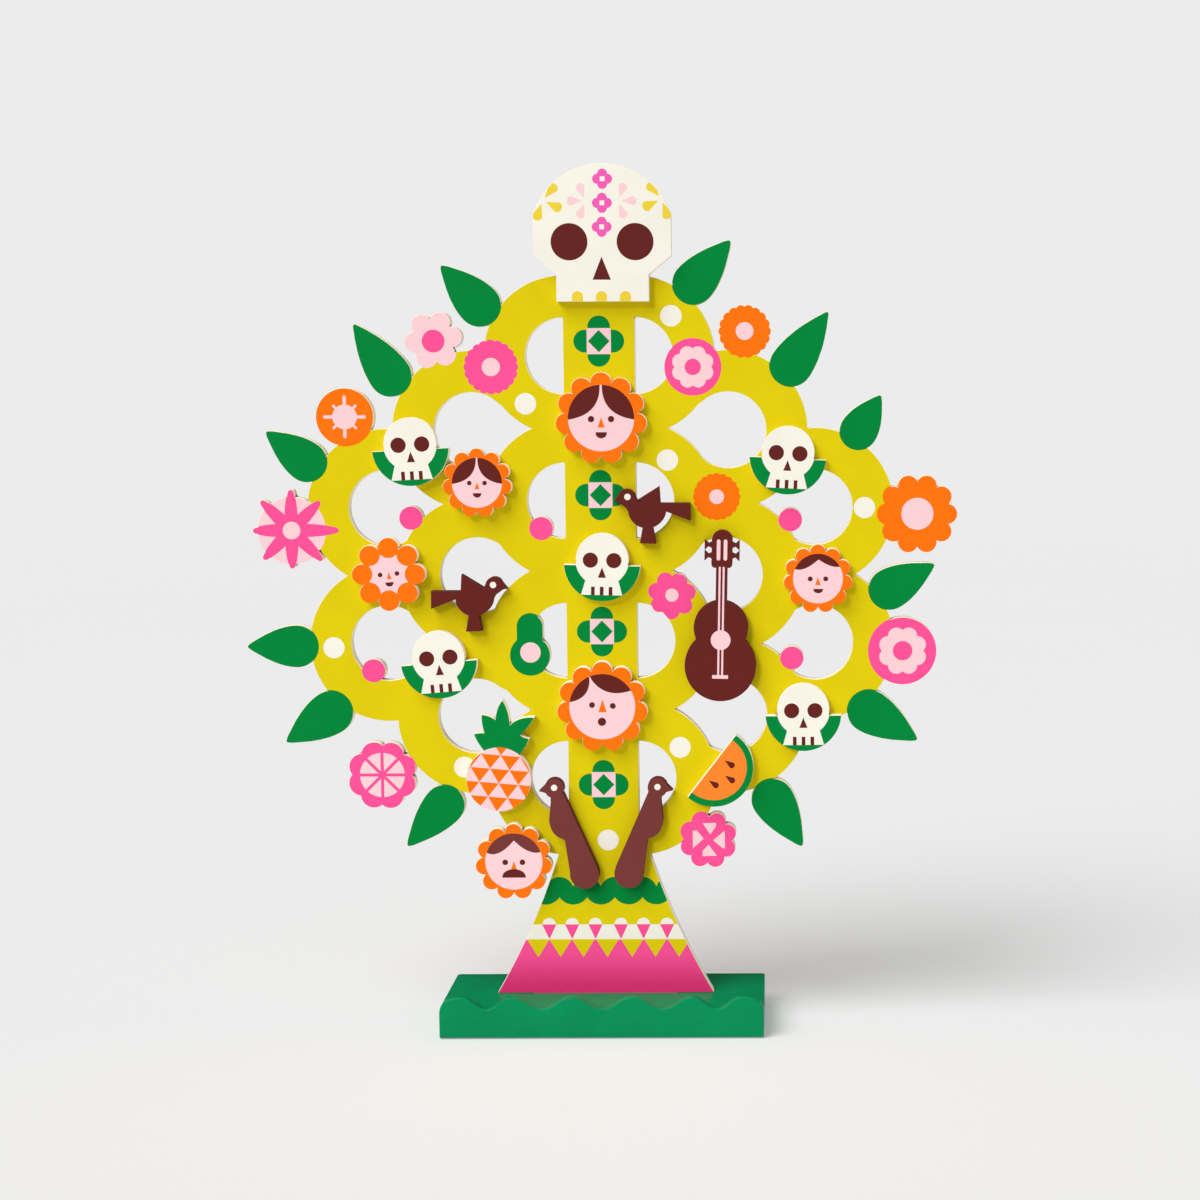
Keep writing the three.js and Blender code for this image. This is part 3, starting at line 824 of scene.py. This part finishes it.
def hair_shape(edge, radius):
    """The part of a round face between its rim and an edge that crosses it."""
    start, end = (math.degrees(math.atan2(z, x)) for x, z in (edge[-1], edge[0]))
    end = start + (end - start + 180) % 360 - 180
    return edge[1:-1] + arc(0, 0, radius, start, end)


def face(radius, hair, eyes, nose, mouth, hair_colour="brown"):
    """A plain round face. The eyes are (x, z, radius), the nose is (x, base, apex, half width)."""
    shapes = [("pale_pink", circle(0, 0, radius))]
    shapes += [(hair_colour, hair_shape(edge, radius)) for edge in hair]
    shapes += [("brown", circle(*eye)) for eye in eyes]
    shapes.append(("orange", triangle(*nose)))
    shapes.append(("brown", mouth))
    return shapes


def pair(eye):
    """The right eye and its mirror image."""
    x, z, radius = eye
    return [(-x, z, radius), (x, z, radius)]


def parted(radius, scale, eye, nose, mouth):
    """A face with hair parted in the middle. The mouth is (top, half width, depth)."""
    left = [(-0.4 * scale, 13.2 * scale), (-0.3 * scale, 1.3 * scale), (-13.3 * scale, -0.6 * scale)]
    right = [(-x, z) for x, z in left]
    top, half, depth = mouth
    return face(radius, [curve(*left), curve(*right)], pair(eye), nose, dome(0, top, half, -depth))


def parted_large():
    return parted(13.4, 1, eye=(4.05, -0.4, 1.28), nose=(0, -3.8, 0.3, 1.45), mouth=(-5.7, 2.3, 2.5))


def parted_small():
    return parted(10.15, 0.757, eye=(3.1, -0.1, 0.93), nose=(0, -2.6, 0.3, 1.0), mouth=(-4.2, 1.7, 1.85))


def short_haired():
    left = curve((-9.2, 3.9), (-5.5, 2.7), (0.25, 7.8))
    right = curve((0.25, 7.8), (5.55, 4.1), (9.1, 4.9))
    fringe = (left + right[1:])[::-1]
    return face(10.15, [fringe], pair((3.15, -0.1, 1.0)), (0, -2.7, 0.6, 1.15), dome(0.1, -4.2, 2, -1.8))


def moustached():
    left = curve((-11.4, 3.9), (-6.6, 0.9), (0.1, 8.8))
    right = curve((0.1, 8.8), (6.3, 2.6), (10.9, 3.9))
    fringe = (left + right[1:])[::-1]
    moustache = dome(0, -6.75, 4.85, 3.6)
    return face(11.8, [fringe], pair((3.55, -0.3, 1.17)), (0, -3.6, 0.1, 1.35), moustache, "red_brown")


def swept_haired():
    left = curve((-5.1, 11.9), (-4.8, 3.4), (-13.3, 1.9))
    right = curve((-4.8, 11.9), (0.8, 3), (11.8, 6.6))
    eyes = [(-4.2, 0.7, 1.2), (4.3, 0.3, 1.2)]
    return face(13.5, [left, right], eyes, (0.1, -2.3, 3.0, 1.7), circle(-0.2, -6.25, 1.7))


def child():
    """A face in the middle of eight round petals."""
    ring, petal_radius = 10.8, 4.2
    shapes = [("pale_pink", circle(0, 0, 8.4))]
    for i in range(8):
        angle = math.radians(45 * i)
        shapes.append(("orange", circle(ring * math.cos(angle), ring * math.sin(angle), petal_radius)))
    features = [
        ("brown", circle(-3.45, 0, 0.95)),
        ("brown", circle(3.45, 0, 0.95)),
        ("orange", triangle(0.1, -2.0, 0.85, 1.0)),
        ("brown", dome(0, -3.3, 1.65, -1.8)),
    ]
    return shapes + [(colour, placed(points, 0, 0, 5)) for colour, points in features]


def small_skull():
    jaw = [(-8.4, -14.5), (8.4, -14.5), (6.7, -8.5), (-6.7, -8.5)]
    shapes = [("cream", circle(0, 0, 10.9)), ("cream", jaw)]
    shapes += [("brown", circle(x, -0.3, 3.1)) for x in (-4.78, 4.78)]
    shapes.append(("brown", triangle(0, -7.4, -3.1, 1.65)))
    shapes += [("brown", rectangle(x - 0.75, -14.6, x + 0.75, -11.1)) for x in (-3.6, 0, 3.6)]
    return shapes


def quatrefoil(x, z):
    lobe, square = 2, 0.95
    places = ((lobe, 0), (-lobe, 0), (0, lobe), (0, -lobe))
    shapes = [("orchid", circle(x + dx, z + dz, lobe)) for dx, dz in places]
    shapes.append(("cream", rectangle(x - square, z - square, x + square, z + square)))
    return shapes


def fan(x, z, colour, turns, length, half):
    """Drops whose points nearly meet in a common centre."""
    outline = placed(drop(length, half), 1.3, 0)
    return [(colour, placed(outline, x, z, turn)) for turn in turns]


def topper():
    shapes = [("brown", circle(x, -2.0, 7.4)) for x in (-13.25, 13.25)]
    shapes.append(("brown", triangle(-0.3, -17.1, -7.9, 3.7)))
    for x, z in ((0.3, 22.9), (0.1, 13.4), (-0.1, 3.9)):
        shapes += quatrefoil(x, z)
    shapes += fan(-6.6, 14.2, "pale_pink", (110, 180, 250), 6.0, 1.95)
    shapes += fan(6.6, 14.2, "pale_pink", (70, 0, -70), 6.0, 1.95)
    shapes += fan(-23.6, 14.4, "skull_yellow", (50, -25, -110), 7.0, 2.2)
    shapes += fan(24, 14.8, "skull_yellow", (130, 205, 290), 7.0, 2.2)
    for x in (-10.15, -0.45, 9.15):
        tooth = arc(x, -23.9, 2.25, 0, 180) + [(x - 2.25, -27), (x + 2.25, -27)]
        shapes.append(("skull_yellow", tooth))
    return shapes


def guitar():
    """The sound hole, the bridge, two strings and the slots of the head."""
    shapes = [("pale_pink", circle(0, 10.6, 4.05))]
    shapes.append(("pale_pink", rectangle(-3.25, -5.3, 3.25, -3.8)))
    for side in (-1, 1):
        string, slot = 0.8 * side, 1.4 * side
        shapes.append(("pale_pink", rectangle(string - 0.4, -4, string + 0.4, 40.6)))
        shapes.append(("pale_pink", stadium(slot, 47.5, 1.5, 8.6)))
    return shapes


def pineapple():
    """Rows of triangles on the fruit, and a plain crown."""
    row, width, tilt, drop_by, rim = 5.85, 8.0, -5, 1.6, 13.35
    shapes = [("pale_pink", circle(0, 0, 13.5))]
    for r in range(-4, 4):
        for k in range(-4, 5):
            x = (k + (0.5 if r % 2 else 0)) * width
            shape = placed(triangle(x, (r + 1) * row, r * row, width / 2), 0, -drop_by, tilt)
            if any(math.hypot(*point) < rim for point in shape):
                shapes.append(("orange", shape))
    past_crown = [(-30, 0), (-30, 50), (30, 50), (30, 0)]
    shapes.append(("green", arc(0, 0, rim, 0, 180) + past_crown))
    return shapes


def melon():
    seed = [(-2.4, 0)] + arc(1.1, 0, 1.25, -100, 100)
    shapes = [("melon", circle(0, 0, 13.7))]
    shapes += [("brown", placed(seed, x, z, -35)) for x, z in ((6.6, 1.5), (6.7, -4.8), (0, -6.8))]
    return shapes


def bird_eye(x, z):
    return [("cream", circle(x, z, 1.3))]


# Node, colour of its board's print, artwork, and where the artwork's origin lies: x, z and turn
FIGURES = [
    ("sugar_skull_topper", "cream", topper(), 2.2, 324, 0),
    ("skull_upper_left", "green", small_skull(), -76.5, 241.3, 2.8),
    ("skull_upper_right", "green", small_skull(), 76.6, 237.4, -3),
    ("skull_centre", "green", small_skull(), 0.8, 194.1, -1.4),
    ("skull_lower_left", "green", small_skull(), -66.6, 154.3, 4.6),
    ("skull_lower_right", "green", small_skull(), 82.5, 132.1, 0.4),
    ("marigold_upper_centre", "orange", parted_large(), 1, 251.5, 0),
    ("marigold_upper_left", "orange", parted_small(), -49.6, 225.5, 0),
    ("marigold_right", "orange", short_haired(), 88.6, 186.1, 0),
    ("marigold_lower_centre", "orange", swept_haired(), 0.2, 133.7, 0),
    ("marigold_moustache", "orange", moustached(), -37, 69.3, 0),
    ("marigold_child_left", "orange", child(), -86.2, 188.4, 0),
    ("guitar", "brown", guitar(), 48.6, 150.4, -1.2),
    ("bird_flying_left", "brown", bird_eye(7.85, 5.1), -51.6, 178.8, 0),
    ("bird_flying_right", "brown", bird_eye(-7.85, 5.1), 19.2, 214.5, 0),
    ("bird_perched_right", "red_brown", bird_eye(12.1, 36.3), 10.4, 64, 0),
    ("bird_perched_left", "red_brown", bird_eye(-12.1, 36.3), -7.9, 63.8, 0),
    ("pineapple", "green", pineapple(), -42.7, 103.6, 0),
    ("melon_slice", "green", melon(), 45.6, 108.4, 0),
]


def build_board(node, base, shapes):
    """A node's board and the print on it."""
    loops = [smoothed(loop) for loop in front_loops(node)]
    low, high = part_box(node)
    stained = base in ("brown", "red_brown")
    materials = [STAINED_EDGE, STAINED_FACE, BARE] if stained else [PALE_EDGE, PALE_FACE, BARE]
    board = extruded(node + "_board", loops, low.y / MM, high.y / MM, materials)
    ink = printed(node + "_print", loops, low.y / MM, base, shapes)
    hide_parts(node)


build_board("tree_panel", "yellow", tree_print())
for node, base, shapes, x, z, turn in FIGURES:
    build_board(node, base, [(colour, placed(points, x, z, turn)) for colour, points in shapes])


# ---------------------------------------------------------------- the base

RAIL_ROUND = 0.7
BLOCK_ROUND = 0.6
SCREW_ROUND = 0.12
PAD_ROUND = 0.3
HARD_EDGE = math.radians(40)  # an edge of a CAD solid that turns more than this is rounded over


def build_rail():
    """The scalloped strip on the block's front."""
    loops = [smoothed(loop) for loop in front_loops("base_wave_rail")]
    low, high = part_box("base_wave_rail")
    rail = extruded("base_wave_rail_painted", loops, low.y / MM, high.y / MM, [PAINT] * 3, RAIL_ROUND)
    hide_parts("base_wave_rail")


def rounded_copy(node, name, material, width):
    """A CAD node again, with its sharp edges rounded over."""
    mesh = bmesh.new()
    mesh.from_mesh(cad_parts[node].data)
    bmesh.ops.remove_doubles(mesh, verts=mesh.verts, dist=TINY)
    bmesh.ops.dissolve_limit(mesh, angle_limit=math.radians(1), verts=mesh.verts, edges=mesh.edges)
    sharp = [e for e in mesh.edges if e.is_manifold and e.calc_face_angle() > HARD_EDGE]
    bmesh.ops.bevel(
        mesh,
        geom=sharp,
        offset=width * MM,
        segments=3,
        profile=0.5,
        affect="EDGES",
        clamp_overlap=True,
    )
    bmesh.ops.triangulate(mesh, faces=mesh.faces)
    vertices = [tuple(v.co) for v in mesh.verts]
    mesh.verts.index_update()
    faces = [tuple(v.index for v in f.verts) for f in mesh.faces]
    mesh.free()
    piece = new_piece(name, vertices, faces, [material], [0] * len(faces))
    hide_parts(node)


build_rail()
rounded_copy("base_block", "base_block_painted", PAINT, BLOCK_ROUND)
for side in ("left", "right"):
    rounded_copy("base_screw_" + side, "base_screw_" + side + "_steel", STEEL, SCREW_ROUND)
for corner in ("front_left", "front_right", "back_left", "back_right"):
    rounded_copy("foot_pad_" + corner, "foot_pad_" + corner + "_foam", FOAM, PAD_ROUND)


# ---------------------------------------------------------------- studio

AMBIENT = 0.22  # radiance of the even light
SEEN_BY_GLOSS = 0.06  # the same light as a gloss reflects it, in a studio with dark walls
BACKDROP = linear((236, 236, 236))
FLOOR_GLOW = 0.234  # the floor's own faint light, which lifts it to the backdrop's tone
FLOOR_TONES = (0.797, 0.797, 0.797, 1), (0.803, 0.803, 0.803, 1)
FLOOR_REACH = 6.0
FADE_FROM, FADE_TO = 1.6, 4.5  # distances between which the floor turns into the backdrop
# Name, travel, strength and softness in degrees
SIDE_LIGHT = ("side_light", (0.50, 0.48, -0.78), 2.3, 44)
FILLS = [
    ("front_light", (0.34, 0.84, -0.42), 0.86, 12),
    ("top_light", (-0.15, 0.10, -0.98), 0.4, 30),
    ("right_light", (-0.93, 0.20, -0.28), 0.6, 30),
]


def add_sun(name, travel, strength, softness):
    """A large soft light. Travel is the direction that its light goes in."""
    data = bpy.data.lights.new(name, "SUN")
    data.energy = strength
    data.angle = math.radians(softness)
    light = bpy.data.objects.new(name, data)
    light.rotation_euler = Vector(travel).to_track_quat("-Z", "Y").to_euler()
    bpy.context.scene.collection.objects.link(light)
    return light


def add_lights():
    """A side light that throws the long shadow, and three fills that reach only the object."""
    add_sun(*SIDE_LIGHT)
    lit = bpy.data.collections.new("lit_by_fills")
    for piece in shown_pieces():
        lit.objects.link(piece)
    for fill in FILLS:
        add_sun(*fill).light_linking.receiver_collection = lit


def add_world():
    """Even light from all round. The camera sees the seamless backdrop's own tone in its place."""
    world = bpy.data.worlds.new("studio")
    bpy.context.scene.world = world
    world.use_nodes = True
    nodes, links = world.node_tree.nodes, world.node_tree.links
    lighting = nodes["Background"]
    lighting.inputs["Color"].default_value = (1, 1, 1, 1)
    lighting.inputs["Strength"].default_value = AMBIENT
    seen = nodes.new("ShaderNodeBackground")
    seen.inputs["Color"].default_value = BACKDROP
    ray = nodes.new("ShaderNodeLightPath")
    dark = nodes.new("ShaderNodeBackground")
    dark.inputs["Strength"].default_value = SEEN_BY_GLOSS
    gloss = nodes.new("ShaderNodeMixShader")
    links.new(ray.outputs["Is Glossy Ray"], gloss.inputs["Fac"])
    links.new(lighting.outputs["Background"], gloss.inputs[1])
    links.new(dark.outputs["Background"], gloss.inputs[2])
    mix = nodes.new("ShaderNodeMixShader")
    links.new(ray.outputs["Is Camera Ray"], mix.inputs["Fac"])
    links.new(gloss.outputs["Shader"], mix.inputs[1])
    links.new(seen.outputs["Background"], mix.inputs[2])
    links.new(mix.outputs["Shader"], nodes["World Output"].inputs["Surface"])


def add_floor():
    """A pale plain floor that fades into the backdrop far away."""
    mesh = bpy.data.meshes.new("floor")
    corners = rectangle(-FLOOR_REACH, -FLOOR_REACH, FLOOR_REACH, FLOOR_REACH)
    mesh.from_pydata([(x, y, 0) for x, y in corners], [], [(0, 1, 2, 3)])
    floor = bpy.data.objects.new("floor", mesh)
    bpy.context.scene.collection.objects.link(floor)
    recipe = Recipe("floor", Roughness=0.9, Specular_IOR_Level=0.1)
    haze = recipe.ramp(recipe.noise(3, 2), 0.3, 0.7, 0, 1)
    recipe.set("Base Color", recipe.mix(haze, *FLOOR_TONES))
    recipe.shader.inputs["Emission Color"].default_value = (1, 1, 1, 1)
    recipe.shader.inputs["Emission Strength"].default_value = FLOOR_GLOW
    distance = recipe.nodes.new("ShaderNodeVectorMath")
    distance.operation = "LENGTH"
    recipe.links.new(recipe.place, distance.inputs[0])
    fade = recipe.ramp(distance.outputs["Value"], FADE_FROM, FADE_TO, 0, 1)
    clear = recipe.nodes.new("ShaderNodeBsdfTransparent")
    mix = recipe.nodes.new("ShaderNodeMixShader")
    recipe.links.new(fade, mix.inputs["Fac"])
    recipe.links.new(recipe.shader.outputs["BSDF"], mix.inputs[1])
    recipe.links.new(clear.outputs["BSDF"], mix.inputs[2])
    recipe.links.new(mix.outputs["Shader"], recipe.nodes["Material Output"].inputs["Surface"])
    mesh.materials.append(recipe.material)


CAMERA_PLACE = (0.07497, -0.90098, 0.26672)
LOOKS_DOWN = math.radians(5.711)
ROLL = math.radians(-0.167)
SENSOR, LENS = 36, 66.08
SHIFT = -0.1538  # sideways, because the object stands off the middle of the lens


def add_camera():
    data = bpy.data.cameras.new("camera")
    data.sensor_width = SENSOR
    data.lens = LENS
    data.shift_x = SHIFT
    camera = bpy.data.objects.new("camera", data)
    camera.location = CAMERA_PLACE
    pitch = Quaternion((1, 0, 0), math.radians(90) - LOOKS_DOWN)
    roll = Quaternion((0, 0, 1), ROLL)
    camera.rotation_euler = (pitch @ roll).to_euler()
    bpy.context.scene.collection.objects.link(camera)
    bpy.context.scene.camera = camera


add_lights()
add_world()
add_floor()
add_camera()
bpy.context.scene.view_settings.view_transform = "Standard"
bpy.context.scene.view_settings.look = "None"
